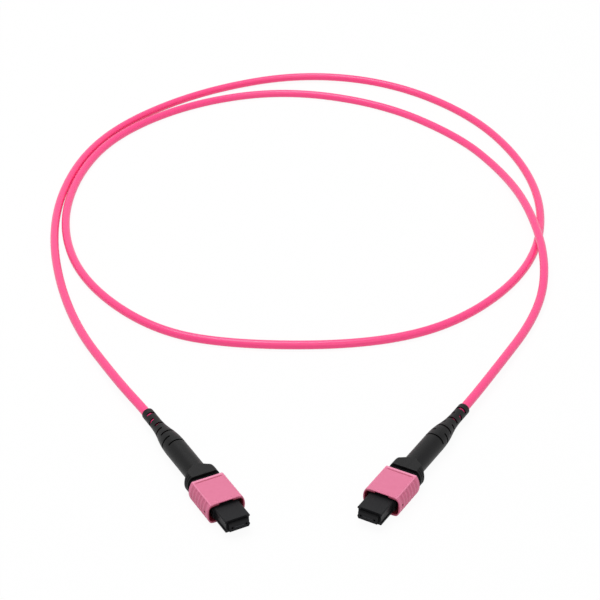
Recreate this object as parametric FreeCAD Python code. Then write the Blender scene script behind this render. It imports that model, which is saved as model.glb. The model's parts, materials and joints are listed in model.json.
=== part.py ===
import FreeCAD
import Part
import math
import os
from FreeCAD import Placement, Rotation, Vector

# Multi-fibre patch cord: a round pink cord with the same push-pull plug on each end.
# Millimetres. The cord lies on the table, z = 0, with the origin midway between the two plugs.
# Each plug is drawn along its own x axis: x = 0 at the nose front, minus towards the cord.

# Where the plugs lie: nose front centre and the angle of the plug's nose off the -Y direction
PLUGS = {
    "a": {"nose_x": -20.25, "nose_y": -28.1, "yaw": 28.4},
    "b": {"nose_x": 18.65, "nose_y": -24.55, "yaw": -30.1},
}

# Cord
cord_diameter = 3.0
cord_start = 42.0
cord_lead = 19.0
bend_share = 0.45

# Route of the cord between the two plugs, chosen by eye, x and y
route_plain = [
    (-79.5, 84), (-90.5, 126), (-93, 168), (-88.5, 205), (-69, 236), (-41, 262), (-3, 271.5),
    (35, 263.5), (66.5, 235.5), (84.5, 198), (88.5, 157), (81, 117), (56, 83), (19, 69),
    (-20, 67.5), (-53, 79.5), (-77.5, 110), (-88.5, 146), (-88, 186), (-75, 222), (-46.5, 248),
    (-8, 255), (30, 246), (61, 216.5), (75, 188),
]
route_hump = [(83, 159), (86.5, 119)]
route_last = [(79, 84)]

# Coupling sleeve
nose_reach = 7.3
sleeve_length = 12.9
sleeve_flat = 10.2
sleeve_height = 7.0
sleeve_bulge = 1.2
sleeve_edge = 0.25
sleeve_lip = 0.3
sleeve_wall = 0.85
sleeve_side_wall = 0.7
sleeve_inner_corner = 1.3
sleeve_travel = 1.8
grip_count = 6
grip_pitch = 1.75
grip_width = 1.05
grip_depth = 0.2
grip_height = 6.3
rim_width = 0.5
rim_depth = 0.2
rim_length = 8.8
rim_offset = 1.0
keyway_wall = 0.35
dimple_diameter = 0.7
dimple_depth = 0.3
dimple_setback = 1.5
dimple_drop = 1.7

# Plug housing
nose_width = 8.2
nose_height = 4.2
nose_corner = 0.45
channel_depth = 0.3
plate_thickness = 0.8
ear_span = 8.9
ear_height = 3.2
ear_length = 1.4
latch_room = 2.8
housing_overhang = 0.4
housing_corner = 1.25
key_width = 4.0
key_start = 2.5
key_bevel = 0.25
window_height = 2.0

# Ferrule and what stands behind it
ferrule_width = 6.4
ferrule_height = 2.5
ferrule_length = 8.0
ferrule_reach = 1.3
ferrule_travel = 0.8
ferrule_flange = 2.0
ferrule_shoulder = 0.3
pin_pitch = 4.6
pin_diameter = 0.7
ribbon_width = 3.05
ribbon_thickness = 0.3
ribbon_setback = 2.5
glue_window_length = 2.2
glue_window_width = 3.0
glue_window_start = 2.9
rubber_wall_side = 0.2
rubber_wall_top = 0.5
rubber_length = 6.2
rubber_setback = 4.4
keeper_length = 2.0
keeper_pin_room = 0.1
spring_length = 5.0
spring_wire = 0.4
spring_turns = 5
spring_chords = 10

# Spring push with its crimp post
push_flange_inset = 0.4
hook_length = 1.0
hook_height = 1.8
hook_reach = 0.6
hook_setback = 0.6
passage_height = 1.2
passage_room = 0.6
post_diameter = 4.2
post_bore = 2.4
post_length = 10.8
bundle_diameter = 1.2

# Crimp ring and strength yarn
yarn_thickness = 0.17
yarn_setback = 1.8
yarn_end = 0.2
ring_wall = 0.25
ring_setback = 1.0
ring_overhang = 0.4
ring_grip = 4.0

# Sleeve return springs
coil_diameter = 1.0
coil_wire = 0.2
coil_turns = 4
coil_chords = 6
groove_end = 2.25
tab_length = 0.6
groove_lip = 0.9

# Boot
boot_length = 40.6
boot_tail_radius = 2.0
boot_neck = 5.5
boot_flare = 15.2
boot_barrel_radius = 3.5
flange_flat = 8.1
flange_height = 6.9
flange_bulge = 1.55
flange_length = 2.3
flange_edge = 0.35
flange_lip = 0.25
flange_corner = 0.8
flange_shoulder_length = 2.9
flange_shoulder_width = 2.4
flange_groove_count = 2
flange_groove = 0.35
flange_groove_depth = 0.2
flange_groove_offset = 0.6
flange_groove_pitch = 0.85
slot_rows = 7
slot_first = 2.7
slot_pitch = 3.1
slot_width_tail = 0.95
slot_width_barrel = 0.6
slot_half_angle = 50.0

# Clearances
slide_gap = 0.15
ferrule_gap = 0.1
float_gap = 0.1
seat_gap = 0.05
snug_gap = 0.05
key_gap = 0.25
stop_gap = 0.1
pull_gap = 0.2
hump_gap = 3.0

# Derived places along the plug, counted from the nose front
axis_height = max(sleeve_height, 2 * boot_barrel_radius) / 2
sleeve_front = -nose_reach
sleeve_rear = sleeve_front - sleeve_length
sleeve_width = sleeve_flat + 2 * sleeve_bulge
sleeve_inner_width = sleeve_width - 2 * sleeve_side_wall
sleeve_inner_height = sleeve_height - 2 * sleeve_wall
keyway_height = sleeve_height - 2 * keyway_wall
key_height = (keyway_height - nose_height) / 2 - slide_gap
housing_width = sleeve_inner_width - 2 * slide_gap
housing_height = sleeve_inner_height - 2 * slide_gap
ear_front = sleeve_front + seat_gap
ear_rear = ear_front - ear_length
housing_front = ear_rear - latch_room
housing_rear = sleeve_rear - housing_overhang
ferrule_rear = ferrule_reach - ferrule_length
shoulder_front = ferrule_rear + ferrule_flange
shoulder_width = ferrule_width + 2 * ferrule_shoulder
shoulder_height = ferrule_height + 2 * ferrule_shoulder
cavity_width = shoulder_width + 2 * float_gap
cavity_height = shoulder_height + 2 * ferrule_gap
rubber_width = ribbon_width + 2 * rubber_wall_side
rubber_height = ribbon_thickness + 2 * rubber_wall_top
ribbon_front = ferrule_reach - ribbon_setback
pocket_front = ferrule_reach - rubber_setback
pocket_width = rubber_width + 2 * snug_gap
pocket_height = rubber_height + 2 * snug_gap
keeper_rear = ferrule_rear - keeper_length
push_front = keeper_rear - spring_length
push_width = cavity_width - 2 * ferrule_gap
push_height = cavity_height - 2 * ferrule_gap
boot_front = sleeve_rear - sleeve_travel - pull_gap
post_rear = boot_front - post_length
hook_front = housing_rear + hook_setback + hook_length
bundle_front = housing_rear
ribbon_rear = bundle_front + ferrule_travel + stop_gap
boot_rear = boot_front - boot_length
flare_start = boot_rear + boot_neck
barrel_start = flare_start + boot_flare
barrel_front = boot_front - flange_length / 2
groove_front = housing_front - groove_lip
tab_front = groove_front - stop_gap
tab_rear = tab_front - tab_length
groove_rear = housing_rear + groove_end
groove_floor = housing_width / 2 - coil_diameter
groove_height = coil_diameter + 2 * slide_gap
cord_radius = cord_diameter / 2
cord_floor = cord_radius
hump_height = cord_floor + cord_diameter + hump_gap
yarn_inner = post_diameter / 2 + snug_gap
yarn_outer = yarn_inner + yarn_thickness
ring_inner = yarn_outer + snug_gap
ring_small = cord_radius + snug_gap
ring_front = boot_front - ring_setback
ring_step = post_rear - ring_overhang
ring_rear = -cord_start - ring_grip


def box(front, rear, width, height, y=0.0, z=0.0):
    return Part.makeBox(front - rear, width, height, Vector(rear, y - width / 2, z - height / 2))


def rod(front, rear, radius, y=0.0, z=0.0):
    return Part.makeCylinder(radius, front - rear, Vector(rear, y, z), Vector(1, 0, 0))


def tube(front, rear, outer, inner):
    return rod(front, rear, outer).cut(rod(front, rear, inner))


def mirrored(shape):
    return shape.mirror(Vector(0, 0, 0), Vector(0, 1, 0))


def prism(edges, front, rear):
    face = Part.Face(Part.Wire(edges))
    return face.extrude(Vector(front - rear, 0, 0))


def rounded_prism(width, height, radius, front, rear):
    """Rectangle with round corners, drawn across the plug and carried along it."""
    block = box(front, rear, width, height)
    long_edges = [e for e in block.Edges if abs(e.tangentAt(e.FirstParameter).x) > 0.99]
    return block.makeFillet(radius, long_edges)


def barrel_prism(flat, height, bulge, front, rear):
    """Flat top and bottom joined by bulging sides, one arc each."""
    half, top = flat / 2, height / 2
    corners = [Vector(rear, y, z) for y, z in ((half, top), (half, -top), (-half, -top), (-half, top))]
    edges = [
        Part.Arc(corners[0], Vector(rear, half + bulge, 0), corners[1]).toShape(),
        Part.LineSegment(corners[1], corners[2]).toShape(),
        Part.Arc(corners[2], Vector(rear, -half - bulge, 0), corners[3]).toShape(),
        Part.LineSegment(corners[3], corners[0]).toShape(),
    ]
    return prism(edges, front, rear)


def eased_barrel(flat, height, bulge, front, rear, edge, lip):
    """The same with its long edges and its two ends bevelled."""
    block = barrel_prism(flat, height, bulge, front, rear)
    long_edges = [e for e in block.Edges if abs(e.tangentAt(e.FirstParameter).x) > 0.99]
    block = block.makeChamfer(edge, long_edges)
    end_edges = [e for e in block.Edges if e.BoundBox.XLength < 1e-4]
    return block.makeChamfer(lip, end_edges)


def sway_radius(run, rise):
    """Radius of the two equal arcs that make an S over this run and rise, level at both ends."""
    return ((run / 2) ** 2 + (rise / 2) ** 2) / abs(rise)


def sway(x1, r1, x2, r2):
    """The S itself, as two tangent arcs in the x-y plane."""
    radius = sway_radius(x2 - x1, r2 - r1)
    sign = math.copysign(1, r2 - r1)
    half_turn = math.asin(abs(x2 - x1) / 2 / radius) / 2
    side = math.copysign(1, x2 - x1) * radius * math.sin(half_turn)
    drop = sign * radius * (1 - math.cos(half_turn))
    middle = Vector((x1 + x2) / 2, (r1 + r2) / 2, 0)
    first = Part.Arc(Vector(x1, r1, 0), Vector(x1 + side, r1 + drop, 0), middle)
    second = Part.Arc(middle, Vector(x2 - side, r2 - drop, 0), Vector(x2, r2, 0))
    return [first.toShape(), second.toShape()]


def line(x1, r1, x2, r2):
    return Part.LineSegment(Vector(x1, r1, 0), Vector(x2, r2, 0)).toShape()


def make_sleeve():
    size = (sleeve_flat, sleeve_height, sleeve_bulge)
    outer = eased_barrel(*size, sleeve_front, sleeve_rear, sleeve_edge, sleeve_lip)

    grip_flat = sleeve_flat - 2 * grip_depth
    core = barrel_prism(grip_flat, sleeve_height, sleeve_bulge, sleeve_front, sleeve_rear)
    grip_span = (grip_count - 1) * grip_pitch
    first_grip = (sleeve_front + sleeve_rear + grip_span) / 2
    cuts = []
    for number in range(grip_count):
        middle = first_grip - number * grip_pitch
        ring = box(middle + grip_width / 2, middle - grip_width / 2, sleeve_width + grip_depth, grip_height)
        cuts.append(ring.cut(core))

    rim_front = sleeve_rear + rim_offset + rim_width
    for side in (1, -1):
        level = side * sleeve_height / 2
        cuts.append(box(rim_front, rim_front - rim_width, rim_length, 2 * rim_depth, z=level))
    inner = (sleeve_inner_width, sleeve_inner_height, sleeve_inner_corner)
    cuts.append(rounded_prism(*inner, sleeve_front, sleeve_rear))
    cuts.append(box(sleeve_front, sleeve_rear, nose_width + 2 * slide_gap, nose_height + 2 * slide_gap))
    cuts.append(box(sleeve_front, sleeve_rear, key_width + 2 * key_gap, keyway_height))
    dimple_floor = Vector(sleeve_front - dimple_setback, sleeve_width / 2 - dimple_depth, -dimple_drop)
    dimple = Part.makeCylinder(dimple_diameter / 2, dimple_depth, dimple_floor, Vector(0, 1, 0))
    cuts += [dimple, mirrored(dimple)]
    sleeve = outer.cut(cuts)

    tab_inner = groove_floor + slide_gap
    tab_outer = sleeve_inner_width / 2 + sleeve_side_wall / 2
    tab = box(tab_front, tab_rear, tab_outer - tab_inner, coil_diameter, y=(tab_inner + tab_outer) / 2)
    return sleeve.fuse([tab, mirrored(tab)]).removeSplitter()


def make_plug_housing():
    nose = rounded_prism(nose_width, nose_height, nose_corner, 0, housing_front)
    channel_height = nose_height - 2 * plate_thickness
    channel = box(0, housing_front, 2 * channel_depth, channel_height, y=nose_width / 2)
    nose = nose.cut([channel, mirrored(channel)])
    ears = box(ear_front, ear_rear, ear_span, ear_height)
    body = rounded_prism(housing_width, housing_height, housing_corner, housing_front, housing_rear)
    key_level = -(nose_height + key_height) / 2
    key = box(-key_start, groove_front, key_width, key_height, z=key_level)
    key_nose = [e for e in key.Edges if abs(e.CenterOfMass.x + key_start) < 1e-6]
    lowest = min(key_nose, key=lambda e: e.CenterOfMass.z)
    key = key.makeChamfer(min(key_bevel, key_height / 2), [lowest])
    housing = nose.fuse([ears, body, key])

    mouth_width = ferrule_width + 2 * ferrule_gap
    mouth_height = ferrule_height + 2 * ferrule_gap
    ledge = shoulder_front + seat_gap
    cuts = [
        box(0, ledge, mouth_width, mouth_height),
        box(ledge, housing_rear, cavity_width, cavity_height),
    ]
    groove_depth = housing_width / 2 - groove_floor
    groove = box(groove_front, groove_rear, groove_depth, groove_height, y=groove_floor + groove_depth / 2)
    window_depth = hook_reach + seat_gap
    window = box(
        hook_front + seat_gap, hook_front - hook_length - seat_gap, window_depth, window_height,
        y=(cavity_width + window_depth) / 2,
    )
    cuts += [groove, mirrored(groove), window, mirrored(window)]
    return housing.cut(cuts).removeSplitter()


def make_ferrule():
    body = box(ferrule_reach, shoulder_front, ferrule_width, ferrule_height)
    shoulder = box(shoulder_front, ferrule_rear, shoulder_width, shoulder_height)
    window_front = ferrule_reach - glue_window_start
    window_rear = window_front - glue_window_length
    cuts = [
        box(pocket_front, ferrule_rear, pocket_width, pocket_height),
        box(ribbon_front, pocket_front, ribbon_width + 2 * snug_gap, ribbon_thickness + 2 * snug_gap),
        box(window_front, window_rear, glue_window_width, ferrule_height, z=ferrule_height / 2),
    ]
    for side in (1, -1):
        cuts.append(rod(ferrule_reach, ferrule_rear, pin_diameter / 2, y=side * pin_pitch / 2))
    return body.fuse(shoulder).cut(cuts).removeSplitter()


def make_pin_keeper():
    plate = box(ferrule_rear, keeper_rear, shoulder_width, shoulder_height)
    pocket = box(ferrule_rear, keeper_rear, pocket_width, pocket_height)
    pin_room = pin_diameter / 2 + keeper_pin_room
    notch_floor = pin_pitch / 2 - pin_room
    notch_depth = shoulder_width / 2 - notch_floor
    notch = box(ferrule_rear, keeper_rear, notch_depth, 2 * pin_room, y=notch_floor + notch_depth / 2)
    return plate.cut([pocket, notch, mirrored(notch)])


def make_ferrule_boot():
    rear = pocket_front - rubber_length
    rubber = box(pocket_front, rear, rubber_width, rubber_height)
    return rubber.cut(box(pocket_front, rear, ribbon_width, ribbon_thickness + 2 * snug_gap))


def make_fibre_ribbon():
    return box(ribbon_front, ribbon_rear, ribbon_width - 2 * snug_gap, ribbon_thickness)


def coil(front, rear, half_width, half_height, wire, turns, chords):
    """Square wire wound in an oval along the plug, lofted from section to section in straight chords."""
    steps = turns * chords
    rise = (front - rear - wire) / steps
    sections = []
    for step in range(steps + 1):
        angle = 2 * math.pi * step / chords
        x = rear + wire / 2 + rise * step
        middle = Vector(x, half_width * math.cos(angle), half_height * math.sin(angle))
        outward = Vector(0, half_height * math.cos(angle), half_width * math.sin(angle))
        outward = outward.normalize() * (wire / 2)
        along = Vector(wire / 2, 0, 0)
        shifts = [outward + along, along - outward, -outward - along, outward - along]
        corners = [middle + shift for shift in shifts]
        sections.append(Part.makePolygon(corners + corners[:1]))
    return Part.makeLoft(sections, True, True)


def make_ferrule_spring():
    half_width = (push_width - spring_wire) / 2 - snug_gap
    half_height = (push_height - spring_wire) / 2 - snug_gap
    return coil(keeper_rear, push_front, half_width, half_height, spring_wire, spring_turns, spring_chords)


def make_sleeve_spring():
    radius = (coil_diameter - coil_wire) / 2
    shape = coil(tab_rear, groove_rear, radius, radius, coil_wire, coil_turns, coil_chords)
    shape.translate(Vector(0, groove_floor + coil_diameter / 2 + snug_gap, 0))
    return shape


def make_spring_push():
    block = box(push_front, housing_rear, push_width, push_height)
    flange_width = housing_width - 2 * push_flange_inset
    flange = rounded_prism(flange_width, housing_height, housing_corner, housing_rear, boot_front)
    hook_width = push_width + 2 * hook_reach
    hooks = box(hook_front, hook_front - hook_length, hook_width, hook_height)
    post = rod(boot_front, post_rear, post_diameter / 2)
    cuts = [
        box(push_front, housing_rear, ribbon_width + passage_room, passage_height),
        rod(housing_rear, post_rear, post_bore / 2),
    ]
    return block.fuse([flange, hooks, post]).cut(cuts).removeSplitter()


def make_aramid_yarn():
    return tube(boot_front - yarn_setback, post_rear + yarn_end, yarn_outer, yarn_inner)


def turned(edges):
    face = Part.Face(Part.Wire(edges))
    return face.revolve(Vector(0, 0, 0), Vector(1, 0, 0), 360)


def make_crimp_ring():
    over_post = rod(ring_front, ring_step, ring_inner + ring_wall)
    over_cord = rod(ring_step, ring_rear, ring_small + ring_wall)
    step_inside = ring_step + ring_wall
    bores = [rod(ring_front, step_inside, ring_inner), rod(step_inside, ring_rear, ring_small)]
    return over_post.fuse(over_cord).cut(bores).removeSplitter()


def make_fibre_bundle():
    return rod(bundle_front, -cord_start, bundle_diameter / 2)


def boot_radius(x):
    """Outer radius of the boot at x, along its neck, S-shaped flare and barrel."""
    arc = sway_radius(boot_flare, boot_barrel_radius - boot_tail_radius)
    ahead = max(x - flare_start, 0)
    behind = max(barrel_start - x, 0)
    if ahead < behind:
        return boot_tail_radius + arc - math.sqrt(arc ** 2 - ahead ** 2)
    return boot_barrel_radius - arc + math.sqrt(arc ** 2 - behind ** 2)


def make_flange():
    """Bulging block in front of the boot's barrel, with slanting shoulders behind it."""
    half = flange_flat / 2 + flange_bulge
    block_rear = boot_front - flange_length
    shoulder_rear = block_rear - flange_shoulder_length
    outline = [(boot_front, half), (block_rear, half), (shoulder_rear, flange_shoulder_width / 2)]
    outline += [(x, -y) for x, y in outline[::-1]]
    corners = [Vector(x, y, -flange_height / 2) for x, y in outline]
    plan = Part.Face(Part.makePolygon(corners + corners[:1]))
    plan = plan.extrude(Vector(0, 0, flange_height))
    turns = [e for e in plan.Edges if e.BoundBox.ZLength > 0.9 * flange_height]
    turns = [e for e in turns if abs(e.CenterOfMass.x - block_rear) < 1e-6]
    plan = plan.makeFillet(flange_corner, turns)
    size = (flange_flat, flange_height, flange_bulge)
    flange = eased_barrel(*size, boot_front, shoulder_rear, flange_edge, flange_lip).common(plan)

    groove_flat = flange_flat - 2 * flange_groove_depth
    core = barrel_prism(groove_flat, flange_height, flange_bulge, boot_front, shoulder_rear)
    cuts = []
    for number in range(flange_groove_count):
        front = boot_front - flange_groove_offset - number * flange_groove_pitch
        cuts.append(box(front, front - flange_groove, 2 * half, flange_height).cut(core))
    return flange.cut(cuts)


def make_boot():
    barrel = turned(
        [line(barrel_front, 0, boot_rear, 0), line(boot_rear, 0, boot_rear, boot_tail_radius)]
        + [line(boot_rear, boot_tail_radius, flare_start, boot_tail_radius)]
        + sway(flare_start, boot_tail_radius, barrel_start, boot_barrel_radius)
        + [line(barrel_start, boot_barrel_radius, barrel_front, boot_barrel_radius)]
        + [line(barrel_front, boot_barrel_radius, barrel_front, 0)]
    )
    bore_step = ring_step - snug_gap
    bore_rear = ring_rear - snug_gap
    cuts = [
        rod(boot_front, bore_step, ring_inner + ring_wall + snug_gap),
        rod(bore_step, bore_rear, ring_small + ring_wall + snug_gap),
        rod(bore_rear, boot_rear, ring_small),
    ]
    slot_taper = (slot_width_barrel - slot_width_tail) / (slot_rows - 1)
    for row in range(slot_rows):
        middle = boot_rear + slot_first + row * slot_pitch
        half_slot = (slot_width_tail + row * slot_taper) / 2
        reach = boot_radius(middle)
        floor = reach * math.cos(math.radians(slot_half_angle))
        depth = 2 * reach - floor
        for side in (1, -1):
            level = side * (floor + depth / 2)
            slab = box(middle + half_slot, middle - half_slot, 2 * depth, depth, z=level)
            if row % 2:
                slab.rotate(Vector(0, 0, 0), Vector(1, 0, 0), 90)
            cuts.append(slab)
    return barrel.fuse(make_flange()).cut(cuts).removeSplitter()


def plug_placement(plug):
    turn = Rotation(Vector(0, 0, 1), plug["yaw"] - 90)
    return Placement(Vector(plug["nose_x"], plug["nose_y"], axis_height), turn)


def round_path(points):
    """Straight runs joined by tangent arcs, each as large as its two runs allow."""
    edges = []
    radii = []
    here = points[0]
    for before, corner, after in zip(points, points[1:], points[2:]):
        back = before - corner
        ahead = after - corner
        trim = bend_share * min(back.Length, ahead.Length)
        half_turn = (math.pi - back.getAngle(ahead)) / 2
        radius = trim / math.tan(half_turn)
        back.normalize()
        ahead.normalize()
        inward = (back + ahead).normalize()
        start = corner + back * trim
        middle = corner + inward * (radius / math.cos(half_turn) - radius)
        end = corner + ahead * trim
        edges.append(Part.LineSegment(here, start).toShape())
        edges.append(Part.Arc(start, middle, end).toShape())
        radii.append(radius)
        here = end
    edges.append(Part.LineSegment(here, points[-1]).toShape())
    return Part.Wire(edges), radii


def cord_end(plug):
    """The cord's end inside the plug and the point where it starts to bend, on the plug's axis."""
    place = plug_placement(plug)
    return [place.multVec(Vector(-cord_start, 0, 0)), place.multVec(Vector(boot_rear - cord_lead, 0, 0))]


def make_jacket():
    points = cord_end(PLUGS["a"])
    points += [Vector(x, y, cord_floor) for x, y in route_plain]
    points += [Vector(x, y, hump_height) for x, y in route_hump]
    points += [Vector(x, y, cord_floor) for x, y in route_last]
    points += cord_end(PLUGS["b"])[::-1]
    path, radii = round_path(points)
    print("bend radii", [round(radius) for radius in radii])
    section = Part.Wire(Part.Circle(points[0], points[1] - points[0], cord_radius).toShape())
    jacket = path.makePipeShell([section], True, False)
    plain_volume = math.pi * cord_radius ** 2 * path.Length
    print("cord length", round(path.Length, 1), "volume ratio", round(jacket.Volume / plain_volume, 4))
    return jacket


def make_plug_pieces():
    left_spring = make_sleeve_spring()
    return {
        "sleeve": make_sleeve(),
        "plug_housing": make_plug_housing(),
        "ferrule": make_ferrule(),
        "pin_keeper": make_pin_keeper(),
        "ferrule_boot": make_ferrule_boot(),
        "fibre_ribbon": make_fibre_ribbon(),
        "ferrule_spring": make_ferrule_spring(),
        "spring_push": make_spring_push(),
        "sleeve_spring_left": left_spring,
        "sleeve_spring_right": mirrored(left_spring),
        "aramid_yarn": make_aramid_yarn(),
        "crimp_ring": make_crimp_ring(),
        "fibre_bundle": make_fibre_bundle(),
        "boot": make_boot(),
    }


def main():
    os.makedirs("parts", exist_ok=True)
    nodes = {"jacket": make_jacket()}
    pieces = make_plug_pieces()
    for end, plug in PLUGS.items():
        for name, shape in pieces.items():
            placed = shape.copy()
            placed.Placement = plug_placement(plug).multiply(shape.Placement)
            nodes[name + "_" + end] = placed
    plugs_box = FreeCAD.BoundBox()
    for name, shape in nodes.items():
        print(name, "valid", shape.isValid(), "solids", len(shape.Solids), "volume", round(shape.Volume, 3))
        if name != "jacket":
            plugs_box.add(shape.optimalBoundingBox())
        shape.exportStep("parts/" + name + ".step")
    print("plugs box", plugs_box)


main()
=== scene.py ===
import json
import math

import bpy
import numpy as np
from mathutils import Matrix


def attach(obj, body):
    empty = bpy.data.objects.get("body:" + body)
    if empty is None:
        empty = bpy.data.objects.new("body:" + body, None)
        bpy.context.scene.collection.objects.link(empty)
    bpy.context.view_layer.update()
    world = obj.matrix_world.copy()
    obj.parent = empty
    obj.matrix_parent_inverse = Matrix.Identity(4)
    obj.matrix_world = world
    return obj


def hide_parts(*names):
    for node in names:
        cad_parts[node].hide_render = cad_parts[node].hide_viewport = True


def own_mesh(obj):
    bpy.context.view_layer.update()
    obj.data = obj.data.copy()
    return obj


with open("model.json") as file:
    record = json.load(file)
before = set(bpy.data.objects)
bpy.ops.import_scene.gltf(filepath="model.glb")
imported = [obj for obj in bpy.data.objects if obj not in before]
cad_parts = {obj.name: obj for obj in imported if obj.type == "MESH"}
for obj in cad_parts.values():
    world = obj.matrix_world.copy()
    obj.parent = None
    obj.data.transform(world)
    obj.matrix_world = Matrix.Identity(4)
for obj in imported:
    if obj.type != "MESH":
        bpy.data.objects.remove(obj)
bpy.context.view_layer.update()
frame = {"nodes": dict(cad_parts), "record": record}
nodes = frame["nodes"]
mounts = {mount["name"]: mount for mount in frame["record"]["mounts"]}
mm = 0.001
ends = ("a", "b")
print("frame loaded:", len(nodes), "solids")


class Tone:  # a socket that can stand on either side of a sign
    def __init__(self, finish, socket):
        self.finish, self.socket = finish, socket

    def pair(self, operation, first, second):
        return self.finish.add("ShaderNodeMath", {"operation": operation}, {0: first, 1: second})

    def __add__(self, other):
        return self.pair("ADD", self, other)

    def __radd__(self, other):
        return self.pair("ADD", other, self)

    def __sub__(self, other):
        return self.pair("SUBTRACT", self, other)

    def __rsub__(self, other):
        return self.pair("SUBTRACT", other, self)

    def __mul__(self, other):
        return self.pair("MULTIPLY", self, other)

    def __rmul__(self, other):
        return self.pair("MULTIPLY", other, self)


class Finish:  # the nodes of one material, or of the world
    def __init__(self, tree):
        self.tree = tree
        tree.nodes.clear()

    def add(self, kind, settings=None, inputs=None, output=0):  # settings go on first, then values and links
        node = self.tree.nodes.new(kind)
        for key, value in (settings or {}).items():
            setattr(node, key, value)
        for key, value in (inputs or {}).items():
            if isinstance(value, Tone):
                self.tree.links.new(value.socket, node.inputs[key])
            else:
                node.inputs[key].default_value = value
        return Tone(self, node.outputs[output]) if len(node.outputs) else None

    def noise(self, where, size, detail=2.0):  # soft grain about one half, its size in metres
        return self.add("ShaderNodeTexNoise", {}, {"Vector": where, "Scale": 1 / size, "Detail": detail})

    def mixed(self, share, first, second):  # colour from first to second, on the node's colour sockets
        return self.add("ShaderNodeMix", {"data_type": "RGBA"}, {0: share, 6: first, 7: second}, output=2)

    def bump(self, height, depth):  # relief, its depth in metres
        return self.add("ShaderNodeBump", {}, {"Height": height, "Distance": depth})


def newMaterial(name):  # a material and its nodes, none yet
    material = bpy.data.materials.new(name)
    material.use_nodes = True
    return material, Finish(material.node_tree)


def rgb(red, green, blue):  # screen colour, 0 to 255, as linear light by the usual screen curve
    share = np.array([red, green, blue]) / 255
    linear = np.where(share <= 0.04045, share / 12.92, ((share + 0.055) / 1.055) ** 2.4)
    return (*linear.tolist(), 1.0)


def wandering(level, spread, noise):  # a level that strays as a noise about one half does
    return level + spread * (noise - 0.5)


def painted(name):  # a mask that reads a painted shade or painted highlight stored on a piece's points
    return lambda finish, where: finish.add("ShaderNodeAttribute", {"attribute_name": name}, output="Fac")


def moulded(name, look, masks=()):  # plastic or rubber: two close tones, patchy gloss, a fine grain
    material, finish = newMaterial(name)
    where = finish.add("ShaderNodeTexCoord", output="Object")
    patches = finish.noise(where, look["patch"])
    grain = finish.noise(where, look["grain"], detail=3.0)
    colour = finish.mixed(patches, look["tone"], look["secondTone"])
    for mask, tone in masks:  # another tone where a mask is 1
        colour = finish.mixed(mask(finish, where), colour, tone)
    surface = finish.add("ShaderNodeBsdfPrincipled", {}, {
        "Base Color": colour,
        "Roughness": wandering(look["roughness"], look["glossPatches"], patches),
        "Specular IOR Level": look["specular"],
        "Normal": finish.bump(grain, look["grainDepth"]),
    })
    finish.add("ShaderNodeOutputMaterial", {}, {"Surface": surface})
    return material


jacketPink = moulded("jacketPink", {
    "tone": rgb(248, 62, 130), "secondTone": rgb(250, 67, 135), "roughness": 0.3, "glossPatches": 0.08,
    "specular": 0.5, "patch": 3 * mm, "grain": 0.2 * mm, "grainDepth": 0.003 * mm})
sleevePink = moulded("sleevePink", {
    "tone": rgb(213, 113, 145), "secondTone": rgb(220, 122, 154), "roughness": 0.5,
    "glossPatches": 0.1, "specular": 0.22, "patch": 1.5 * mm, "grain": 0.12 * mm, "grainDepth": 0.008 * mm},
    # painted shade on the sides, in the grooves, on the front lip and inside; painted highlight along the edges;
    # painted shade in the dimple
    [(painted("paintedShade"), rgb(135, 38, 54)), (painted("edge"), rgb(248, 168, 196)), (painted("dimpleShade"), rgb(58, 16, 22))])
housingBlack = moulded("housingBlack", {
    "tone": rgb(26, 26, 28), "secondTone": rgb(32, 32, 34), "roughness": 0.4, "glossPatches": 0.1,
    "specular": 0.1, "patch": 1.2 * mm, "grain": 0.1 * mm, "grainDepth": 0.006 * mm})
bootBlack = moulded("bootBlack", {
    "tone": rgb(10, 10, 11), "secondTone": rgb(15, 15, 16), "roughness": 0.42, "glossPatches": 0.12,
    "specular": 0.17, "patch": 2 * mm, "grain": 0.12 * mm, "grainDepth": 0.007 * mm})
# painted shade: a black darker and duller than the housing's, so the push in the gap behind the sleeve looks shadowed
shadedBlack = moulded("shadedBlack", {
    "tone": rgb(8, 8, 9), "secondTone": rgb(11, 11, 12), "roughness": 0.6, "glossPatches": 0.1,
    "specular": 0.08, "patch": 1.2 * mm, "grain": 0.1 * mm, "grainDepth": 0.006 * mm})
fibreTeal = moulded("fibreTeal", {
    "tone": rgb(60, 160, 175), "secondTone": rgb(90, 185, 195), "roughness": 0.4, "glossPatches": 0.1,
    "specular": 0.5, "patch": 0.5 * mm, "grain": 0.1 * mm, "grainDepth": 0.005 * mm})


def metal(name, look):  # drawn or turned metal: close tones and a gloss that wanders
    material, finish = newMaterial(name)
    where = finish.add("ShaderNodeTexCoord", output="Object")
    streaks = finish.noise(where, look["streak"], detail=4.0)
    surface = finish.add("ShaderNodeBsdfPrincipled", {}, {
        "Base Color": finish.mixed(streaks, look["tone"], look["secondTone"]),
        "Metallic": 1.0,
        "Roughness": wandering(look["roughness"], look["glossPatches"], streaks),
        "Normal": finish.bump(streaks, look["streakDepth"]),
    })
    finish.add("ShaderNodeOutputMaterial", {}, {"Surface": surface})
    return material


springSteel = metal("springSteel", {
    "tone": rgb(170, 170, 172), "secondTone": rgb(200, 200, 200), "roughness": 0.3, "glossPatches": 0.2,
    "streak": 0.3 * mm, "streakDepth": 0.004 * mm})
ringMetal = metal("ringMetal", {
    "tone": rgb(186, 186, 184), "secondTone": rgb(205, 204, 202), "roughness": 0.36, "glossPatches": 0.2,
    "streak": 0.6 * mm, "streakDepth": 0.006 * mm})


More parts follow.
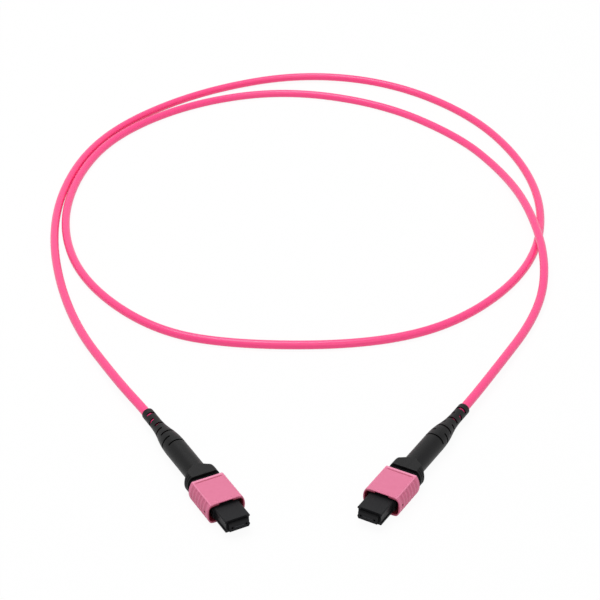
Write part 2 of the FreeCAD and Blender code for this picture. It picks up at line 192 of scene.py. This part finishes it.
def spunYarn(name, look):  # soft loose yarn: one fine noise gives its two tones and its relief
    material, finish = newMaterial(name)
    where = finish.add("ShaderNodeTexCoord", output="Object")
    strands = finish.noise(where, look["strand"], detail=5.0)
    surface = finish.add("ShaderNodeBsdfPrincipled", {}, {
        "Base Color": finish.mixed(strands, look["tone"], look["secondTone"]),
        "Roughness": look["roughness"],
        "Normal": finish.bump(strands, look["strandDepth"]),
    })
    finish.add("ShaderNodeOutputMaterial", {}, {"Surface": surface})
    return material


yarnYellow = spunYarn("yarnYellow", {
    "tone": rgb(200, 160, 70), "secondTone": rgb(235, 205, 110), "roughness": 0.7,
    "strand": 0.2 * mm, "strandDepth": 0.05 * mm})


def dress(node, material):  # a CAD solid keeps its shape and takes a finish
    for materialSlot in nodes[node].material_slots:
        materialSlot.material = material


solidFinishes = {
    "plug_housing": housingBlack, "pin_keeper": springSteel, "ferrule_boot": shadedBlack, "fibre_ribbon": fibreTeal,
    "spring_push": shadedBlack, "aramid_yarn": yarnYellow, "crimp_ring": ringMetal, "fibre_bundle": fibreTeal}
for solid, material in solidFinishes.items():
    for end in ends:
        dress(solid + "_" + end, material)
print("finishes on the solids")


def onPlug(end, along, across, up):  # a plug's own directions to the shared frame, metres
    nose = mounts["plug_nose_" + end]
    origin, forward = np.array(nose["pos_m"]), np.array(nose["axis"])
    left, upward = np.array([-forward[1], forward[0], 0.0]), np.array([0, 0, 1.0])
    along, across, up = np.broadcast_arrays(along, across, up)
    return origin + along[..., None] * forward + across[..., None] * left + up[..., None] * upward


def gridFaces(rows, columns, closeRows=True):  # quads of a grid that joins round, row by row
    row = np.arange(rows if closeRows else rows - 1)[:, None]
    column = np.arange(columns)[None, :]
    nextRow, nextColumn = (row + 1) % rows, (column + 1) % columns
    corners = [row * columns + column, row * columns + nextColumn,
               nextRow * columns + nextColumn, nextRow * columns + column]
    return np.stack(np.broadcast_arrays(*corners), -1).reshape(-1, 4)


def addObject(name, data):  # a new object in the scene, at the origin
    thing = bpy.data.objects.new(name, data)
    bpy.context.scene.collection.objects.link(thing)
    return thing


def makePiece(name, points, faces, material, sharpAngle):  # a mesh object whose faces point outwards
    points, faces = points.reshape(-1, 3), [np.asarray(part) for part in faces]
    fans = np.concatenate([part[:, [0, k, k + 1]] for part in faces for k in range(1, part.shape[1] - 1)])
    corner = points[fans] - points.mean(0)
    volume = np.einsum("ij,ij->", corner[:, 0], np.cross(corner[:, 1], corner[:, 2]))
    if volume < 0:
        faces = [part[:, ::-1] for part in faces]
    mesh = bpy.data.meshes.new(name)
    mesh.from_pydata(points.tolist(), [], [face for part in faces for face in part.tolist()])
    mesh.polygons.foreach_set("use_smooth", np.ones(len(mesh.polygons), bool))
    mesh.set_sharp_from_angle(angle=math.radians(sharpAngle))
    mesh.materials.append(material)
    return addObject(name, mesh)


# the ferrule dark on its top and sides, its front face lighter: painted light, the face catching the light from the
# front
ferruleLook = {"tone": rgb(17, 17, 18), "secondTone": rgb(22, 22, 23), "litFaceTone": rgb(31, 31, 33), "roughness": 0.34,
               "glossPatches": 0.16, "specular": 0.06, "patch": 0.15 * mm, "grain": 0.05 * mm, "grainDepth": 0.002 * mm,
               "face": 1.28 * mm, "edge": 0.02 * mm}


def paintedLitFace(end):  # 1 on the ferrule's ground front face, painted a lighter tone for the light it catches from the front: the way along the plug, past a level close behind it
    nose = mounts["plug_nose_" + end]
    level = float(np.dot(nose["pos_m"], nose["axis"])) + ferruleLook["face"]

    def mask(finish, where):
        along = finish.add("ShaderNodeVectorMath", {"operation": "DOT_PRODUCT"},
                           {0: where, 1: tuple(nose["axis"])}, output="Value")
        return finish.add("ShaderNodeMath", {"operation": "MULTIPLY", "use_clamp": True},
                          {0: along - level, 1: 1 / ferruleLook["edge"]})
    return mask


for end in ends:
    dress("ferrule_" + end, moulded("ferruleDark_" + end, ferruleLook, [(paintedLitFace(end), ferruleLook["litFaceTone"])]))
print("ferrule faces ground")

# the plug pieces' own sizes are in millimetres, and places along a plug count from the nose's front
fibreLook = {"count": 12, "pitch": 0.25, "radius": 0.0625, "face": 1.3, "proud": 0.012, "sunk": 0.03, "columns": 14,
             "ringShares": (1, 1, 0.85, 0.5), "shoulderShare": 0.6, "sharpAngle": 40}
fibreGlass = moulded("fibreGlass", {
    "tone": rgb(66, 70, 74), "secondTone": rgb(84, 88, 92), "roughness": 0.2, "glossPatches": 0.06,
    "specular": 0.5, "patch": 0.03 * mm, "grain": 0.02 * mm, "grainDepth": 0.0005 * mm})


def fibreEnds(end, look):  # a row of low domes: rings of shrinking radius round each fibre's axis, proud of the face
    rings, columns = len(look["ringShares"]), look["columns"]
    turn = np.linspace(0, 2 * math.pi, columns, endpoint=False)
    reach = look["radius"] * np.array(look["ringShares"])[:, None]
    rise = [-look["sunk"], 0, look["shoulderShare"] * look["proud"], look["proud"]]
    along = look["face"] + np.array(rise)[:, None]
    middle = (np.arange(look["count"]) - (look["count"] - 1) / 2)[:, None, None] * look["pitch"]
    points = onPlug(end, along * mm, (middle + reach * np.cos(turn)) * mm, reach * np.sin(turn) * mm)
    first = np.arange(look["count"])[:, None, None] * rings * columns
    ring = np.arange(columns)
    faces = [(first + gridFaces(rings, columns, closeRows=False)).reshape(-1, 4),
             first[:, 0] + ring[::-1], first[:, 0] + (rings - 1) * columns + ring]
    piece = makePiece("fibreEnds_" + end, points, faces, fibreGlass, look["sharpAngle"])
    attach(piece, "ferrule_group_" + end)


for end in ends:
    fibreEnds(end, fibreLook)
print("fibre ends set")


def spaced(spans):  # even steps through each span of from, to and count
    return np.concatenate([np.linspace(*span) for span in spans])


def eased(distance, width):  # 1 well inside, 0 well outside, an S between
    share = np.clip(0.5 - distance / width, 0, 1)
    return share * share * (3 - 2 * share)


def cornerEase(gap, ease):  # how far an edge is drawn in, most where the two distances that meet there are equal
    return ease * np.log1p(np.exp(-np.abs(gap) / ease))


def leastOf(first, second, ease):  # the smaller of two distances, eased where they meet
    return np.minimum(first, second) - cornerEase(first - second, ease)


def turnShares(angle):  # sizes of an angle's cosine and sine, kept off zero to divide by
    return np.maximum(np.abs(np.cos(angle)), 1e-9), np.maximum(np.abs(np.sin(angle)), 1e-9)


def sideBow(look):  # radius and middle of the arc on which a side bows out between its corners
    top, bulge = look["height"] / 2, look["bulge"]
    radius = (top ** 2 + bulge ** 2) / (2 * bulge)
    return radius, look["flat"] / 2 + bulge - radius


def bowedReach(look, cosine, sine):  # distance from the axis to that arc, by angle
    radius, middle = sideBow(look)
    return middle * cosine + np.sqrt(radius ** 2 - (middle * sine) ** 2)


sleeveLook = {
    "front": -7.3, "rear": -20.2, "flat": 10.2, "height": 7.0, "bulge": 1.2, "lip": 0.25, "mouthEdge": 0.06,
    "edge": 0.05, "frontEdge": 0.4, "frontSoft": 1.0,  # the long edges, and how they round off at the front
    "innerWidth": 11.2, "innerHeight": 5.3, "innerCorner": 1.3, "keyWidth": 4.5, "keyHeight": 6.3,
    "gripFirst": -9.375, "gripPitch": 1.75, "gripCount": 6, "gripWidth": 1.05, "gripDepth": 0.2, "gripHeight": 6.3,
    "gripSoft": 0.35, "gripEndSoft": 0.3,
    "rimMiddle": -18.95, "rimWidth": 0.5, "rimDepth": 0.2, "rimLength": 8.8, "rimSoft": 0.2, "rimEndSoft": 0.3,
    "dimpleAlong": -9.4, "dimpleUp": -0.1, "dimpleRadius": 0.42, "dimpleDepth": 0.1, "dimpleSoft": 0.14,
    "tabFront": -12.45, "tabRear": -13.05, "tabInner": 4.6, "tabOuter": 5.95, "tabHalf": 0.5,
    "sideShade": 0.04, "gripShade": 0.2, "rimShade": 0.5, "lipShade": 0.25, "lipSoft": 0.1,  # shares of the painted shade tone, darker on the sides, in the grooves and on the front lip
    "edgeHighlight": 0.5, "edgeWidth": 0.1, "rearHighlight": 0.45, "rearGap": 0.1, "rearSoft": 0.2,  # shares of the painted highlight tone, along the long edges and on a strip behind the rim groove
    "rows": 170, "lipRows": 6, "innerRows": 12, "sharpAngle": 50,
    "topSpans": ((0, 2.4, 9), (2.5, 2.6, 2), (2.97, 3.1, 2), (3.4, 4.9, 12), (4.95, 5.1, 6)),  # to half the flat
    "sideSpans": ((0, 0.6, 13), (0.75, 2.22, 10), (2.35, 3.1, 7), (3.16, 3.5, 8))}  # to half the height


def latchSleeve(end, look):  # a closed wall: row by row along the plug, an outline's distance from the axis by angle
    front, rear, lip, mouth = (look[key] for key in ("front", "rear", "lip", "mouthEdge"))
    top = look["height"] / 2
    acrossTop, upSide = spaced(look["topSpans"]), spaced(look["sideSpans"])[:-1]
    bow, bowMiddle = sideBow(look)
    quarter = np.concatenate([np.arctan2(upSide, bowMiddle + np.sqrt(bow ** 2 - upSide ** 2)),
                              np.arctan2(top, acrossTop[::-1])])
    angle = np.concatenate([quarter[:-1], math.pi - quarter[:0:-1],
                            math.pi + quarter[:-1], 2 * math.pi - quarter[:0:-1]])
    cosine, sine = turnShares(angle)

    flatReach, sideReach = top / sine, bowedReach(look, cosine, sine)  # outer outline: flat top and bottom, bowed sides
    edgeGap = flatReach - sideReach
    outer = leastOf(flatReach, sideReach, look["edge"])
    frontSink = cornerEase(edgeGap, look["frontEdge"]) - cornerEase(edgeGap, look["edge"])
    onSide = sideReach < flatReach

    halfWidth, halfHeight, corner = look["innerWidth"] / 2, look["innerHeight"] / 2, look["innerCorner"]
    cornerY, cornerZ = halfWidth - corner, halfHeight - corner
    square = np.minimum(halfWidth / cosine, halfHeight / sine)  # inner outline: round corners, and the keyways
    toCorner = cornerY * cosine + cornerZ * sine
    spare = np.maximum(toCorner ** 2 - cornerY ** 2 - cornerZ ** 2 + corner ** 2, 0)
    inCorner = (square * cosine > cornerY) & (square * sine > cornerZ)
    inner = np.where(inCorner, toCorner + np.sqrt(spare), square)
    inner = np.maximum(inner, np.minimum(look["keyWidth"] / 2 / cosine, look["keyHeight"] / 2 / sine))

    bend = np.linspace(0, math.pi / 2, look["lipRows"] + 1)[1:]  # rows: outside, front lip, mouth, inside, rear lip
    outerRows = np.linspace(rear + lip, front - lip, look["rows"])
    innerRows = np.linspace(front - mouth, rear + mouth, look["innerRows"])
    along = np.concatenate([outerRows, front - lip + lip * np.sin(bend), [front], innerRows,
                            [rear], rear + lip - lip * np.sin(bend[::-1])])[:, None]
    sunk = np.concatenate([0 * outerRows, lip * (1 - np.cos(bend)), [-mouth], 0 * innerRows,
                           [-mouth], lip * (1 - np.cos(bend[::-1]))])[:, None]
    within = np.concatenate([0 * outerRows, 0 * bend, [1], 1 + 0 * innerRows, [1], 0 * bend])[:, None]

    across, up = outer * np.cos(angle), outer * np.sin(angle)  # what is cut out of the outside
    number = np.clip(np.round((look["gripFirst"] - along) / look["gripPitch"]), 0, look["gripCount"] - 1)
    gripGap = np.abs(along - look["gripFirst"] + number * look["gripPitch"]) - look["gripWidth"] / 2
    gripEnd = eased(np.abs(up) - look["gripHeight"] / 2, look["gripEndSoft"])
    grip = eased(gripGap, look["gripSoft"]) * gripEnd * onSide
    rimGap = np.abs(along - look["rimMiddle"]) - look["rimWidth"] / 2
    rimEnd = eased(np.abs(across) - look["rimLength"] / 2, look["rimEndSoft"])
    rim = eased(rimGap, look["rimSoft"]) * rimEnd * ~onSide
    dimpleGap = np.hypot(along - look["dimpleAlong"], up - look["dimpleUp"]) - look["dimpleRadius"]
    dimple = eased(dimpleGap, look["dimpleSoft"]) * onSide
    cut = look["gripDepth"] * grip + look["rimDepth"] * rim / sine + look["dimpleDepth"] * dimple
    atFront = eased(front - look["frontSoft"] / 2 - along, look["frontSoft"])
    reach = np.where(within > 0, inner - sunk, outer - sunk - cut - atFront * frontSink)
    wall = onPlug(end, along * mm, reach * np.cos(angle) * mm, reach * np.sin(angle) * mm)

    tabs = []
    for side in (1, -1):  # the two inner tabs that press on the return springs
        tabAcross = np.sort([side * look["tabInner"], side * look["tabOuter"]])
        corners = np.stack(np.meshgrid([look["tabRear"], look["tabFront"]], tabAcross,
                                       [-look["tabHalf"], look["tabHalf"]], indexing="ij"), -1).reshape(-1, 3)
        tabs.append(onPlug(end, *(corners.T * mm)))
    rows, columns = wall.shape[:2]
    box = np.array([(0, 1, 3, 2), (4, 6, 7, 5), (0, 4, 5, 1), (2, 3, 7, 6), (0, 2, 6, 4), (1, 5, 7, 3)])
    faces = [gridFaces(rows, columns), box + rows * columns, box + rows * columns + len(tabs[0])]
    points = np.concatenate([wall.reshape(-1, 3)] + tabs)
    piece = makePiece("latchSleeve_" + end, points, faces, sleevePink, look["sharpAngle"])

    onLip = eased(front - lip / 2 - along, look["lipSoft"])  # painted shade and painted highlight for the finish
    paintedShade = np.maximum(look["sideShade"] * onSide + look["gripShade"] * grip, look["rimShade"] * rim)
    # the inside painted in full shade
    paintedShade = np.maximum(np.maximum(paintedShade, look["lipShade"] * onLip), within)
    # painted highlight: a light line along the long edges, less where a groove cuts in, and a light strip behind the
    # rim groove
    edge = look["edgeHighlight"] * np.exp(-(edgeGap / look["edgeWidth"]) ** 2) * (1 - cut / look["gripDepth"]).clip(0, 1)
    behindRim = eased(along - look["rimMiddle"] + look["rimWidth"] / 2 + look["rearGap"], look["rearSoft"]) * ~onSide
    edge = np.maximum(edge, look["rearHighlight"] * behindRim) * (within < 1)
    # painted shade: the shallow dimple takes a near black tone, as a shadowed hole would
    dimpleShade = dimple * (within < 1)
    for name, shade, onTabs in (("paintedShade", paintedShade, 1.0), ("edge", edge, 0.0), ("dimpleShade", dimpleShade, 0.0)):
        values = np.full(len(points), onTabs, np.float32)
        values[:rows * columns] = np.broadcast_to(shade, (rows, columns)).ravel()
        piece.data.attributes.new(name, "FLOAT", "POINT").data.foreach_set("value", values)
    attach(piece, "latch_sleeve_" + end)
    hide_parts("sleeve_" + end)


for end in ends:
    latchSleeve(end, sleeveLook)
print("sleeves moulded")

bootLook = {
    "front": -22.2, "rear": -62.8, "tailRadius": 2.0, "barrelRadius": 3.5, "neck": 5.5, "flare": 15.2,
    "flat": 8.1, "height": 6.9, "bulge": 1.55, "flangeLength": 2.3, "shoulderLength": 2.9, "shoulderHalf": 1.2,
    "lip": 0.25, "tailLip": 0.2, "ease": 0.1, "rootEase": 0.04,
    "grooveCount": 2, "grooveOffset": 0.775, "groovePitch": 0.85, "grooveWidth": 0.35, "grooveDepth": 0.22,
    "grooveSoft": 0.15,
    "bore": 1.55, "boreMiddle": 1.85, "boreFront": 2.67, "boreStep": -33.45, "boreRear": -46.05, "stepLength": 0.01,
    "slotFirst": 2.7, "slotPitch": 3.1, "slotTail": 0.95, "slotBarrel": 0.6, "slotRows": 7,
    "slotHalf": 63.0, "slotTurn": -13.0,  # degrees
    "barrelRows": 80, "flangeRows": 56, "lipRows": 6, "columns": 160, "sharpAngle": 50}


def bendBoot(end, look):  # a wall of cells round the axis: outer skin, bore, and no cell where a slot goes through
    front, rear, lip, tailLip = (look[key] for key in ("front", "rear", "lip", "tailLip"))
    barrel, tail, flare, ease = (look[key] for key in ("barrelRadius", "tailRadius", "flare", "ease"))
    slot = np.arange(look["slotRows"])
    middle = rear + look["slotFirst"] + slot * look["slotPitch"]
    halfSlot = np.linspace(look["slotTail"], look["slotBarrel"], look["slotRows"]) / 2
    bend = np.linspace(0, math.pi / 2, look["lipRows"])
    flangeRear = front - look["flangeLength"]
    shoulderRear = flangeRear - look["shoulderLength"]
    steps = np.array([look["boreStep"], look["boreRear"]])
    along = np.unique(np.concatenate([
        rear + tailLip * (1 - np.cos(bend)), np.linspace(rear + tailLip, shoulderRear, look["barrelRows"]),
        middle - halfSlot, middle + halfSlot, steps - look["stepLength"], steps,
        np.linspace(shoulderRear, front - lip, look["flangeRows"]), front - lip * (1 - np.sin(bend))]))[:, None]
    rows, columns = len(along), look["columns"]
    angle = np.linspace(0, 2 * math.pi, columns, endpoint=False)
    cosine, sine = turnShares(angle)

    arc = (flare ** 2 + (barrel - tail) ** 2) / (4 * (barrel - tail))  # neck, S flare of two equal arcs, barrel
    fromNeck = np.clip(along - rear - look["neck"], 0, flare)
    toBarrel = flare - fromNeck
    roundReach = np.where(fromNeck < toBarrel, tail + arc - np.sqrt(arc ** 2 - fromNeck ** 2),
                          barrel - arc + np.sqrt(arc ** 2 - toBarrel ** 2))
    flatReach, sideReach = look["height"] / 2 / sine, bowedReach(look, cosine, sine)  # flange: flat top, bowed sides
    full = look["flat"] / 2 + look["bulge"]
    slant = np.clip((flangeRear - along) / look["shoulderLength"], 0, 1)  # its shoulders slant in to the barrel
    shoulder = (full + ease - (full - look["shoulderHalf"]) * slant) / cosine
    flange = leastOf(leastOf(flatReach, sideReach, ease), shoulder, ease)
    flange = np.where(along < shoulderRear, 0, flange)
    for number in range(look["grooveCount"]):
        grooveMiddle = front - look["grooveOffset"] - number * look["groovePitch"]
        groove = eased(np.abs(along - grooveMiddle) - look["grooveWidth"] / 2, look["grooveSoft"])
        flange = flange - look["grooveDepth"] * groove * (sideReach < flatReach)
    outer = np.minimum(-leastOf(-roundReach, -flange, look["rootEase"]), barrel / sine)
    frontGap = np.clip(along - front + lip, 0, lip) / lip
    tailGap = np.clip(rear + tailLip - along, 0, tailLip) / tailLip
    outer = outer - lip * (1 - np.sqrt(1 - frontGap ** 2)) - tailLip * (1 - np.sqrt(1 - tailGap ** 2))
    bore = np.where(along >= look["boreStep"], look["boreFront"],
                    np.where(along >= look["boreRear"], look["boreMiddle"], look["bore"]))
    radii = np.stack(np.broadcast_arrays(outer, bore))
    wall = onPlug(end, along * mm, radii * np.cos(angle) * mm, radii * np.sin(angle) * mm)

    cellAlong = (along[1:] + along[:-1]) / 2
    cellAngle = np.degrees(angle) + 180 / columns
    opened = np.zeros((rows - 1, columns), bool)
    for row in slot:  # two slots to a row, a quarter turn on in the next row
        turn = (cellAngle - 90 * (row + 1) - look["slotTurn"] + 90) % 180 - 90
        opened |= (np.abs(cellAlong - middle[row]) < halfSlot[row]) & (np.abs(turn) < look["slotHalf"])
    skin = np.arange(rows * columns).reshape(rows, columns)
    skin = np.append(skin, skin[:, :1], 1)  # the first column again, to close round
    inside = skin + rows * columns

    def rim(edges, onward=0, across=0, order=1):  # walls from skin to bore on cell edges that run along or across
        i, j = np.nonzero(edges)
        start, stop = (i, j), (i + onward, j + across)
        return np.stack([skin[start], inside[start], inside[stop], skin[stop]], -1)[:, ::order]

    i, j = np.nonzero(~opened)
    near, beside, far, ahead = (i, j), (i, j + 1), (i + 1, j + 1), (i + 1, j)
    edged = np.pad(opened, ((1, 1), (0, 0)), constant_values=True)
    before = np.roll(opened, 1, 1)
    faces = [np.stack([skin[near], skin[beside], skin[far], skin[ahead]], -1),
             np.stack([inside[near], inside[ahead], inside[far], inside[beside]], -1),
             rim(edged[:-1] & ~edged[1:], across=1), rim(~edged[:-1] & edged[1:], across=1, order=-1),
             rim(~before & opened, onward=1), rim(before & ~opened, onward=1, order=-1)]
    piece = makePiece("bendBoot_" + end, wall, faces, bootBlack, look["sharpAngle"])
    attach(piece, "cable")
    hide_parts("boot_" + end)


for end in ends:
    bendBoot(end, bootLook)
print("boots moulded")

sleeveCoil = {"front": -13.05, "rear": -18.35, "halfWidth": 0.4, "halfHeight": 0.4, "wire": 0.1, "turns": 9,
              "stepsPerTurn": 24, "sides": 8, "sharpAngle": 40, "joint": "sleeve_pull_", "travel": 1.8}
coilLooks = {
    "ferrule_spring": {"front": -8.7, "rear": -13.7, "halfWidth": 3.2, "halfHeight": 1.25, "wire": 0.2, "turns": 6,
                       "stepsPerTurn": 24, "sides": 8, "sharpAngle": 40, "joint": "ferrule_float_", "travel": 0.8,
                       "across": 0.0},
    "sleeve_spring_left": {**sleeveCoil, "across": 5.0},
    "sleeve_spring_right": {**sleeveCoil, "across": -5.0}}


def coilSpring(node, end, look):  # a round wire carried along an oval screw line: turn angle by wire angle
    wire, sides, steps = look["wire"], look["sides"], look["turns"] * look["stepsPerTurn"]
    length = look["front"] - look["rear"]
    turn = np.linspace(0, 2 * math.pi * look["turns"], steps + 1)[:, None]
    wireAngle = np.linspace(0, 2 * math.pi, sides, endpoint=False)
    along = look["rear"] + wire + (length - 2 * wire) * turn / turn[-1]
    outAcross, outUp = look["halfHeight"] * np.cos(turn), look["halfWidth"] * np.sin(turn)
    size = np.hypot(outAcross, outUp)
    across = look["across"] + look["halfWidth"] * np.cos(turn) + wire * np.cos(wireAngle) * outAcross / size
    up = look["halfHeight"] * np.sin(turn) + wire * np.cos(wireAngle) * outUp / size
    points = onPlug(end, (along + wire * np.sin(wireAngle)) * mm, across * mm, up * mm)
    cap = np.arange(sides)[None, :]
    faces = [gridFaces(steps + 1, sides, closeRows=False), cap[:, ::-1], cap + steps * sides]
    piece = makePiece(node + "_coil_" + end, points, faces, springSteel, look["sharpAngle"])
    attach(piece, "cable")
    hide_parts(node + "_" + end)
    anchor = onPlug(end, look["rear"] * mm, look["across"] * mm, 0.0)
    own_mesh(piece)


for node, look in coilLooks.items():
    for end in ends:
        coilSpring(node, end, look)
print("springs wound")

cordLook = {"radius": 1.5 * mm, "length": 1.2, "roundness": 8, "steps": 12}
# the cord's route in metres: out of the first boot, round the loop and a half, over itself, into the second boot
route = [
    (-0.04023, 0.00885, 0.0035), (-0.05012, 0.02714, 0.0035), (-0.0608, 0.0447, 0.0035), (-0.0792, 0.0826, 0.0015),
    (-0.0905, 0.1267, 0.0015), (-0.0928, 0.1669, 0.0015), (-0.0855, 0.2052, 0.0015), (-0.0684, 0.2340, 0.0015),
    (-0.0389, 0.2590, 0.0015), (-0.0018, 0.2715, 0.0023), (0.0355, 0.2653, 0.0015), (0.0668, 0.2365, 0.0015),
    (0.0842, 0.1977, 0.0015), (0.0888, 0.1573, 0.0015), (0.0797, 0.1171, 0.0015), (0.0537, 0.0837, 0.0015),
    (0.0227, 0.0695, 0.0015), (-0.0225, 0.0689, 0.0015), (-0.0519, 0.0780, 0.0015), (-0.0780, 0.1085, 0.0015),
    (-0.0893, 0.1460, 0.0015), (-0.0874, 0.1862, 0.0015), (-0.0745, 0.2200, 0.0015), (-0.0453, 0.2468, 0.0015),
    (-0.0082, 0.2580, 0.0015), (0.0316, 0.2457, 0.0015), (0.0608, 0.2174, 0.0015), (0.0754, 0.1892, 0.0015),
    (0.0826, 0.1568, 0.0047), (0.0855, 0.1193, 0.0047), (0.0800, 0.0888, 0.0015), (0.0596, 0.0472, 0.0035),
    (0.05015, 0.02978, 0.0035), (0.03971, 0.01179, 0.0035),
]
curve = bpy.data.curves.new("cordJacket", "CURVE")
curve.dimensions = "3D"
line = curve.splines.new("NURBS")
line.points.add(len(route) - 1)
line.points.foreach_set("co", np.column_stack([route, np.ones(len(route))]).ravel())
line.order_u = 3
line.use_endpoint_u = True
line.resolution_u = cordLook["steps"]
curve.bevel_depth = cordLook["radius"]
curve.bevel_resolution = cordLook["roundness"]
curve.use_fill_caps = True
curve.materials.append(jacketPink)
cord = addObject("cordJacket", curve)
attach(cord, "cable")
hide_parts("jacket")
print("cord laid:", len(route), "points")

plainWhite = (1.0, 1.0, 1.0, 1.0)
stageLook = {"floorSize": 6.0, "floorDrop": 0.05 * mm, "floorTone": (0.86, 0.86, 0.86, 1.0), "floorWhite": 0.94,
             "skyStrength": 0.5}
lampLooks = {"keyLamp": {"place": (-0.15, 0.27, 1.04), "size": 0.7, "power": 7.4},
             "fillLamp": {"place": (0.3, -1.0, 0.8), "size": 0.9, "power": 2.7}}
eye = {"target": (-0.0019, 0.0995, 0.0), "elevation": 32.5, "distance": 0.7118, "focalPixels": 2050, "imagePixels": 600,
       "sensorWidth": 36.0, "nearest": 0.01, "furthest": 20.0}


def seenRays(finish):  # 1 where the eye, a reflection or a see-through ray looks
    rays = [finish.add("ShaderNodeLightPath", output=kind)
            for kind in ("Is Camera Ray", "Is Glossy Ray", "Is Transmission Ray")]
    return rays[0] + rays[1] + rays[2]


def makeFloor(look):  # flat sheet, nearly white to the eye, with the light's own shadow left in it
    material, finish = newMaterial("paleFloor")
    lit = finish.add("ShaderNodeBsdfDiffuse", {}, {"Color": look["floorTone"]})
    white = finish.add("ShaderNodeEmission", {}, {"Color": plainWhite, "Strength": 1.0})
    both = finish.add("ShaderNodeMixShader", {}, {0: seenRays(finish) * look["floorWhite"], 1: lit, 2: white})
    finish.add("ShaderNodeOutputMaterial", {}, {"Surface": both})
    half, level = look["floorSize"] / 2, -look["floorDrop"]
    mesh = bpy.data.meshes.new("floor")
    mesh.from_pydata([(-half, -half, level), (half, -half, level), (half, half, level), (-half, half, level)],
                     [], [(0, 1, 2, 3)])
    mesh.materials.append(material)
    floor = addObject("floor", mesh)


def makeSky(look):  # white to the eye, a plain level for the light it gives
    world = bpy.data.worlds.new("studio")
    world.use_nodes = True
    finish = Finish(world.node_tree)
    light = finish.add("ShaderNodeBackground", {}, {"Color": plainWhite, "Strength": look["skyStrength"]})
    white = finish.add("ShaderNodeBackground", {}, {"Color": plainWhite, "Strength": 1.0})
    both = finish.add("ShaderNodeMixShader", {}, {0: seenRays(finish), 1: light, 2: white})
    finish.add("ShaderNodeOutputWorld", {}, {"Surface": both})
    bpy.context.scene.world = world


def makeLamp(name, look, target):  # square soft lamp that faces the target
    lamp = bpy.data.lights.new(name, "AREA")
    lamp.shape, lamp.size, lamp.energy = "SQUARE", look["size"], look["power"]
    towards = np.array(target) - np.array(look["place"])
    yaw, pitch = math.atan2(towards[0], -towards[1]), math.atan2(np.hypot(*towards[:2]), -towards[2])
    holder = addObject(name, lamp)
    holder.location, holder.rotation_euler = look["place"], (pitch, 0, math.pi + yaw)


makeFloor(stageLook)
makeSky(stageLook)
for name, look in lampLooks.items():
    makeLamp(name, look, eye["target"])

lens = bpy.data.cameras.new("eye")
lens.sensor_fit, lens.sensor_width = "HORIZONTAL", eye["sensorWidth"]
lens.lens = lens.sensor_width * eye["focalPixels"] / eye["imagePixels"]
lens.clip_start, lens.clip_end = eye["nearest"], eye["furthest"]
viewer = addObject("eye", lens)
tilt = math.radians(eye["elevation"])
viewer.location = np.array(eye["target"]) + eye["distance"] * np.array([0, -math.cos(tilt), math.sin(tilt)])
viewer.rotation_euler = (math.pi / 2 - tilt, 0, 0)
bpy.context.scene.camera = viewer
bpy.context.scene.view_settings.view_transform = "Standard"
print("stage and eye set")
